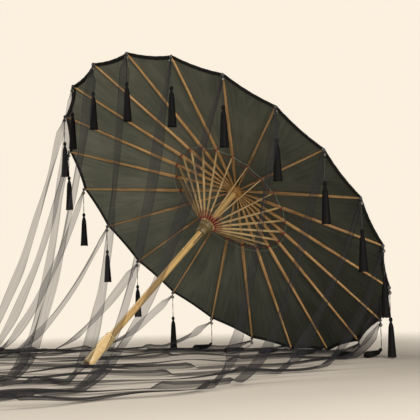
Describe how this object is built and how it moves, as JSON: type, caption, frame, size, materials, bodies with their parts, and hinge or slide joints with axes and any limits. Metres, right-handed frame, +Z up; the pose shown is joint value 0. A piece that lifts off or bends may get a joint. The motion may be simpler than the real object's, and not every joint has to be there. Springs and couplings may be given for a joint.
{
  "type": "oil paper umbrella",
  "caption": "open folding parasol with bamboo ribs and stretchers, silk canopy, sliding runner, rim tassels and long sheer ribbons, leaning on its rim and handle",
  "frame": {"origin": "floor level, under the middle of the outline that the umbrella and its ribbons cover", "axes": "+Z up; the shaft rises from the handle towards +Y, in the plane of Y and Z; +X is across the shaft"},
  "size_m": [1.2733, 1.1773, 0.6237],
  "materials": {
    "bamboo_shaft": "satin",
    "bamboo_rib": "satin",
    "bamboo_stretcher": "satin",
    "turned_wood": "satin",
    "dark_wood": "satin",
    "runner_wood": "satin",
    "grip_wood": "satin",
    "iron_wire": "satin",
    "spring_steel": "satin",
    "oiled_silk": "satin",
    "hem_binding": "matte",
    "thread": "matte",
    "bead_glass": "gloss",
    "tassel_cord": "matte",
    "tassel_silk": "satin",
    "organza": "satin"
  },
  "bodies": {
    "root": {"shaft": "bamboo_shaft", "notch": "turned_wood", "notch_wire": "iron_wire", "top_cap": "turned_wood", "catch_spring": "spring_steel", "grip": "grip_wood", "end_knob": "dark_wood", "canopy": "oiled_silk", "hem": "hem_binding", "thread_ring": "thread", "beads": "bead_glass", "tassel_cords": "tassel_cord", "tassels": "tassel_silk", "ribbons": "organza"},
    "runner": {"runner": "runner_wood", "runner_wire": "iron_wire"},
    "rib_01": {"rib_01": "bamboo_rib"},
    "stretcher_01": {"stretcher_01": "bamboo_stretcher"},
    "rib_02": {"rib_02": "bamboo_rib"},
    "stretcher_02": {"stretcher_02": "bamboo_stretcher"},
    "rib_03": {"rib_03": "bamboo_rib"},
    "stretcher_03": {"stretcher_03": "bamboo_stretcher"},
    "rib_04": {"rib_04": "bamboo_rib"},
    "stretcher_04": {"stretcher_04": "bamboo_stretcher"},
    "rib_05": {"rib_05": "bamboo_rib"},
    "stretcher_05": {"stretcher_05": "bamboo_stretcher"},
    "rib_06": {"rib_06": "bamboo_rib"},
    "stretcher_06": {"stretcher_06": "bamboo_stretcher"},
    "rib_07": {"rib_07": "bamboo_rib"},
    "stretcher_07": {"stretcher_07": "bamboo_stretcher"},
    "rib_08": {"rib_08": "bamboo_rib"},
    "stretcher_08": {"stretcher_08": "bamboo_stretcher"},
    "rib_09": {"rib_09": "bamboo_rib"},
    "stretcher_09": {"stretcher_09": "bamboo_stretcher"},
    "rib_10": {"rib_10": "bamboo_rib"},
    "stretcher_10": {"stretcher_10": "bamboo_stretcher"},
    "rib_11": {"rib_11": "bamboo_rib"},
    "stretcher_11": {"stretcher_11": "bamboo_stretcher"},
    "rib_12": {"rib_12": "bamboo_rib"},
    "stretcher_12": {"stretcher_12": "bamboo_stretcher"},
    "rib_13": {"rib_13": "bamboo_rib"},
    "stretcher_13": {"stretcher_13": "bamboo_stretcher"},
    "rib_14": {"rib_14": "bamboo_rib"},
    "stretcher_14": {"stretcher_14": "bamboo_stretcher"},
    "rib_15": {"rib_15": "bamboo_rib"},
    "stretcher_15": {"stretcher_15": "bamboo_stretcher"},
    "rib_16": {"rib_16": "bamboo_rib"},
    "stretcher_16": {"stretcher_16": "bamboo_stretcher"},
    "rib_17": {"rib_17": "bamboo_rib"},
    "stretcher_17": {"stretcher_17": "bamboo_stretcher"},
    "rib_18": {"rib_18": "bamboo_rib"},
    "stretcher_18": {"stretcher_18": "bamboo_stretcher"},
    "rib_19": {"rib_19": "bamboo_rib"},
    "stretcher_19": {"stretcher_19": "bamboo_stretcher"},
    "rib_20": {"rib_20": "bamboo_rib"},
    "stretcher_20": {"stretcher_20": "bamboo_stretcher"},
    "rib_21": {"rib_21": "bamboo_rib"},
    "stretcher_21": {"stretcher_21": "bamboo_stretcher"},
    "rib_22": {"rib_22": "bamboo_rib"},
    "stretcher_22": {"stretcher_22": "bamboo_stretcher"}
  },
  "joints": [
    {"name": "fold", "type": "slide", "parent": "root", "child": "runner", "axis": [0, -0.7485, -0.6631], "range_m": [0, 0.1659], "deforming": ["canopy", "hem", "thread_ring", "beads", "tassel_cords", "tassels", "ribbons", "catch_spring"]},
    {"name": "rib_01_hinge", "type": "hinge", "parent": "root", "child": "rib_01", "pos_m": [0.05601, 0.37907, 0.35237], "axis": [-0.9898, -0.0944, 0.1065], "range_deg": [-0.01, 74.93]},
    {"name": "stretcher_01_hinge", "type": "hinge", "parent": "runner", "child": "stretcher_01", "pos_m": [0.05629, 0.29168, 0.27759], "axis": [0.9898, 0.0944, -0.1065], "range_deg": [-0.01, 50.33]},
    {"name": "rib_02_hinge", "type": "hinge", "parent": "root", "child": "rib_02", "pos_m": [0.05218, 0.37833, 0.35321], "axis": [-0.9096, -0.2755, 0.311], "range_deg": [-0.01, 74.93]},
    {"name": "stretcher_02_hinge", "type": "hinge", "parent": "runner", "child": "stretcher_02", "pos_m": [0.05301, 0.29104, 0.27831], "axis": [0.9096, 0.2755, -0.311], "range_deg": [-0.01, 50.33]},
    {"name": "rib_03_hinge", "type": "hinge", "parent": "root", "child": "rib_03", "pos_m": [0.04883, 0.3769, 0.35482], "axis": [-0.7557, -0.4342, 0.4902], "range_deg": [-0.01, 74.93]},
    {"name": "stretcher_03_hinge", "type": "hinge", "parent": "runner", "child": "stretcher_03", "pos_m": [0.05014, 0.28981, 0.2797], "axis": [0.7557, 0.4342, -0.4902], "range_deg": [-0.01, 50.33]},
    {"name": "rib_04_hinge", "type": "hinge", "parent": "root", "child": "rib_04", "pos_m": [0.04622, 0.3749, 0.35707], "axis": [-0.5406, -0.5578, 0.6297], "range_deg": [-0.01, 74.93]},
    {"name": "stretcher_04_hinge", "type": "hinge", "parent": "runner", "child": "stretcher_04", "pos_m": [0.04791, 0.2881, 0.28163], "axis": [0.5406, 0.5578, -0.6297], "range_deg": [-0.01, 50.33]},
    {"name": "rib_05_hinge", "type": "hinge", "parent": "root", "child": "rib_05", "pos_m": [0.04457, 0.3725, 0.35979], "axis": [-0.2817, -0.6362, 0.7182], "range_deg": [-0.01, 74.93]},
    {"name": "stretcher_05_hinge", "type": "hinge", "parent": "runner", "child": "stretcher_05", "pos_m": [0.04649, 0.28604, 0.28396], "axis": [0.2817, 0.6362, -0.7182], "range_deg": [-0.01, 50.33]},
    {"name": "rib_06_hinge", "type": "hinge", "parent": "root", "child": "rib_06", "pos_m": [0.044, 0.36988, 0.36274], "axis": [0, -0.6631, 0.7485], "range_deg": [-0.01, 74.93]},
    {"name": "stretcher_06_hinge", "type": "hinge", "parent": "runner", "child": "stretcher_06", "pos_m": [0.046, 0.2838, 0.28648], "axis": [0, 0.6631, -0.7485], "range_deg": [-0.01, 50.33]},
    {"name": "rib_07_hinge", "type": "hinge", "parent": "root", "child": "rib_07", "pos_m": [0.04457, 0.36727, 0.36569], "axis": [0.2817, -0.6362, 0.7182], "range_deg": [-0.01, 74.93]},
    {"name": "stretcher_07_hinge", "type": "hinge", "parent": "runner", "child": "stretcher_07", "pos_m": [0.04649, 0.28156, 0.28902], "axis": [-0.2817, 0.6362, -0.7182], "range_deg": [-0.01, 50.33]},
    {"name": "rib_08_hinge", "type": "hinge", "parent": "root", "child": "rib_08", "pos_m": [0.04622, 0.36486, 0.36841], "axis": [0.5406, -0.5578, 0.6297], "range_deg": [-0.01, 74.93]},
    {"name": "stretcher_08_hinge", "type": "hinge", "parent": "runner", "child": "stretcher_08", "pos_m": [0.04791, 0.2795, 0.29134], "axis": [-0.5406, 0.5578, -0.6297], "range_deg": [-0.01, 50.33]},
    {"name": "rib_09_hinge", "type": "hinge", "parent": "root", "child": "rib_09", "pos_m": [0.04883, 0.36287, 0.37066], "axis": [0.7557, -0.4342, 0.4902], "range_deg": [-0.01, 74.93]},
    {"name": "stretcher_09_hinge", "type": "hinge", "parent": "runner", "child": "stretcher_09", "pos_m": [0.05014, 0.27779, 0.29327], "axis": [-0.7557, 0.4342, -0.4902], "range_deg": [-0.01, 50.33]},
    {"name": "rib_10_hinge", "type": "hinge", "parent": "root", "child": "rib_10", "pos_m": [0.05218, 0.36144, 0.37227], "axis": [0.9096, -0.2755, 0.311], "range_deg": [-0.01, 74.93]},
    {"name": "stretcher_10_hinge", "type": "hinge", "parent": "runner", "child": "stretcher_10", "pos_m": [0.05301, 0.27656, 0.29466], "axis": [-0.9096, 0.2755, -0.311], "range_deg": [-0.01, 50.33]},
    {"name": "rib_11_hinge", "type": "hinge", "parent": "root", "child": "rib_11", "pos_m": [0.05601, 0.36069, 0.37311], "axis": [0.9898, -0.0944, 0.1065], "range_deg": [-0.01, 74.93]},
    {"name": "stretcher_11_hinge", "type": "hinge", "parent": "runner", "child": "stretcher_11", "pos_m": [0.05629, 0.27592, 0.29538], "axis": [-0.9898, 0.0944, -0.1065], "range_deg": [-0.01, 50.33]},
    {"name": "rib_12_hinge", "type": "hinge", "parent": "root", "child": "rib_12", "pos_m": [0.05999, 0.36069, 0.37311], "axis": [0.9898, 0.0944, -0.1065], "range_deg": [-0.01, 74.93]},
    {"name": "stretcher_12_hinge", "type": "hinge", "parent": "runner", "child": "stretcher_12", "pos_m": [0.05971, 0.27592, 0.29538], "axis": [-0.9898, -0.0944, 0.1065], "range_deg": [-0.01, 50.33]},
    {"name": "rib_13_hinge", "type": "hinge", "parent": "root", "child": "rib_13", "pos_m": [0.06382, 0.36144, 0.37227], "axis": [0.9096, 0.2755, -0.311], "range_deg": [-0.01, 74.93]},
    {"name": "stretcher_13_hinge", "type": "hinge", "parent": "runner", "child": "stretcher_13", "pos_m": [0.06298, 0.27656, 0.29466], "axis": [-0.9096, -0.2755, 0.311], "range_deg": [-0.01, 50.33]},
    {"name": "rib_14_hinge", "type": "hinge", "parent": "root", "child": "rib_14", "pos_m": [0.06717, 0.36287, 0.37066], "axis": [0.7557, 0.4342, -0.4902], "range_deg": [-0.01, 74.93]},
    {"name": "stretcher_14_hinge", "type": "hinge", "parent": "runner", "child": "stretcher_14", "pos_m": [0.06586, 0.27779, 0.29327], "axis": [-0.7557, -0.4342, 0.4902], "range_deg": [-0.01, 50.33]},
    {"name": "rib_15_hinge", "type": "hinge", "parent": "root", "child": "rib_15", "pos_m": [0.06978, 0.36486, 0.36841], "axis": [0.5406, 0.5578, -0.6297], "range_deg": [-0.01, 74.93]},
    {"name": "stretcher_15_hinge", "type": "hinge", "parent": "runner", "child": "stretcher_15", "pos_m": [0.0681, 0.2795, 0.29134], "axis": [-0.5406, -0.5578, 0.6297], "range_deg": [-0.01, 50.33]},
    {"name": "rib_16_hinge", "type": "hinge", "parent": "root", "child": "rib_16", "pos_m": [0.07143, 0.36727, 0.36569], "axis": [0.2817, 0.6362, -0.7182], "range_deg": [-0.01, 74.93]},
    {"name": "stretcher_16_hinge", "type": "hinge", "parent": "runner", "child": "stretcher_16", "pos_m": [0.06951, 0.28156, 0.28902], "axis": [-0.2817, -0.6362, 0.7182], "range_deg": [-0.01, 50.33]},
    {"name": "rib_17_hinge", "type": "hinge", "parent": "root", "child": "rib_17", "pos_m": [0.072, 0.36988, 0.36274], "axis": [0, 0.6631, -0.7485], "range_deg": [-0.01, 74.93]},
    {"name": "stretcher_17_hinge", "type": "hinge", "parent": "runner", "child": "stretcher_17", "pos_m": [0.07, 0.2838, 0.28648], "axis": [0, -0.6631, 0.7485], "range_deg": [-0.01, 50.33]},
    {"name": "rib_18_hinge", "type": "hinge", "parent": "root", "child": "rib_18", "pos_m": [0.07143, 0.3725, 0.35979], "axis": [-0.2817, 0.6362, -0.7182], "range_deg": [-0.01, 74.93]},
    {"name": "stretcher_18_hinge", "type": "hinge", "parent": "runner", "child": "stretcher_18", "pos_m": [0.06951, 0.28604, 0.28396], "axis": [0.2817, -0.6362, 0.7182], "range_deg": [-0.01, 50.33]},
    {"name": "rib_19_hinge", "type": "hinge", "parent": "root", "child": "rib_19", "pos_m": [0.06978, 0.3749, 0.35707], "axis": [-0.5406, 0.5578, -0.6297], "range_deg": [-0.01, 74.93]},
    {"name": "stretcher_19_hinge", "type": "hinge", "parent": "runner", "child": "stretcher_19", "pos_m": [0.0681, 0.2881, 0.28163], "axis": [0.5406, -0.5578, 0.6297], "range_deg": [-0.01, 50.33]},
    {"name": "rib_20_hinge", "type": "hinge", "parent": "root", "child": "rib_20", "pos_m": [0.06717, 0.3769, 0.35482], "axis": [-0.7557, 0.4342, -0.4902], "range_deg": [-0.01, 74.93]},
    {"name": "stretcher_20_hinge", "type": "hinge", "parent": "runner", "child": "stretcher_20", "pos_m": [0.06586, 0.28981, 0.2797], "axis": [0.7557, -0.4342, 0.4902], "range_deg": [-0.01, 50.33]},
    {"name": "rib_21_hinge", "type": "hinge", "parent": "root", "child": "rib_21", "pos_m": [0.06382, 0.37833, 0.35321], "axis": [-0.9096, 0.2755, -0.311], "range_deg": [-0.01, 74.93]},
    {"name": "stretcher_21_hinge", "type": "hinge", "parent": "runner", "child": "stretcher_21", "pos_m": [0.06298, 0.29104, 0.27831], "axis": [0.9096, -0.2755, 0.311], "range_deg": [-0.01, 50.33]},
    {"name": "rib_22_hinge", "type": "hinge", "parent": "root", "child": "rib_22", "pos_m": [0.05999, 0.37907, 0.35237], "axis": [-0.9898, 0.0944, -0.1065], "range_deg": [-0.01, 74.93]},
    {"name": "stretcher_22_hinge", "type": "hinge", "parent": "runner", "child": "stretcher_22", "pos_m": [0.05971, 0.29168, 0.27759], "axis": [0.9898, -0.0944, 0.1065], "range_deg": [-0.01, 50.33]}
  ],
  "couplings": [
    {"joint": "rib_01_hinge", "follows": "fold", "rad_per_m": 7.878},
    {"joint": "stretcher_01_hinge", "follows": "fold", "rad_per_m": 5.2894},
    {"joint": "rib_02_hinge", "follows": "fold", "rad_per_m": 7.878},
    {"joint": "stretcher_02_hinge", "follows": "fold", "rad_per_m": 5.2894},
    {"joint": "rib_03_hinge", "follows": "fold", "rad_per_m": 7.878},
    {"joint": "stretcher_03_hinge", "follows": "fold", "rad_per_m": 5.2894},
    {"joint": "rib_04_hinge", "follows": "fold", "rad_per_m": 7.878},
    {"joint": "stretcher_04_hinge", "follows": "fold", "rad_per_m": 5.2894},
    {"joint": "rib_05_hinge", "follows": "fold", "rad_per_m": 7.878},
    {"joint": "stretcher_05_hinge", "follows": "fold", "rad_per_m": 5.2894},
    {"joint": "rib_06_hinge", "follows": "fold", "rad_per_m": 7.878},
    {"joint": "stretcher_06_hinge", "follows": "fold", "rad_per_m": 5.2894},
    {"joint": "rib_07_hinge", "follows": "fold", "rad_per_m": 7.878},
    {"joint": "stretcher_07_hinge", "follows": "fold", "rad_per_m": 5.2894},
    {"joint": "rib_08_hinge", "follows": "fold", "rad_per_m": 7.878},
    {"joint": "stretcher_08_hinge", "follows": "fold", "rad_per_m": 5.2894},
    {"joint": "rib_09_hinge", "follows": "fold", "rad_per_m": 7.878},
    {"joint": "stretcher_09_hinge", "follows": "fold", "rad_per_m": 5.2894},
    {"joint": "rib_10_hinge", "follows": "fold", "rad_per_m": 7.878},
    {"joint": "stretcher_10_hinge", "follows": "fold", "rad_per_m": 5.2894},
    {"joint": "rib_11_hinge", "follows": "fold", "rad_per_m": 7.878},
    {"joint": "stretcher_11_hinge", "follows": "fold", "rad_per_m": 5.2894},
    {"joint": "rib_12_hinge", "follows": "fold", "rad_per_m": 7.878},
    {"joint": "stretcher_12_hinge", "follows": "fold", "rad_per_m": 5.2894},
    {"joint": "rib_13_hinge", "follows": "fold", "rad_per_m": 7.878},
    {"joint": "stretcher_13_hinge", "follows": "fold", "rad_per_m": 5.2894},
    {"joint": "rib_14_hinge", "follows": "fold", "rad_per_m": 7.878},
    {"joint": "stretcher_14_hinge", "follows": "fold", "rad_per_m": 5.2894},
    {"joint": "rib_15_hinge", "follows": "fold", "rad_per_m": 7.878},
    {"joint": "stretcher_15_hinge", "follows": "fold", "rad_per_m": 5.2894},
    {"joint": "rib_16_hinge", "follows": "fold", "rad_per_m": 7.878},
    {"joint": "stretcher_16_hinge", "follows": "fold", "rad_per_m": 5.2894},
    {"joint": "rib_17_hinge", "follows": "fold", "rad_per_m": 7.878},
    {"joint": "stretcher_17_hinge", "follows": "fold", "rad_per_m": 5.2894},
    {"joint": "rib_18_hinge", "follows": "fold", "rad_per_m": 7.878},
    {"joint": "stretcher_18_hinge", "follows": "fold", "rad_per_m": 5.2894},
    {"joint": "rib_19_hinge", "follows": "fold", "rad_per_m": 7.878},
    {"joint": "stretcher_19_hinge", "follows": "fold", "rad_per_m": 5.2894},
    {"joint": "rib_20_hinge", "follows": "fold", "rad_per_m": 7.878},
    {"joint": "stretcher_20_hinge", "follows": "fold", "rad_per_m": 5.2894},
    {"joint": "rib_21_hinge", "follows": "fold", "rad_per_m": 7.878},
    {"joint": "stretcher_21_hinge", "follows": "fold", "rad_per_m": 5.2894},
    {"joint": "rib_22_hinge", "follows": "fold", "rad_per_m": 7.878},
    {"joint": "stretcher_22_hinge", "follows": "fold", "rad_per_m": 5.2894}
  ]
}
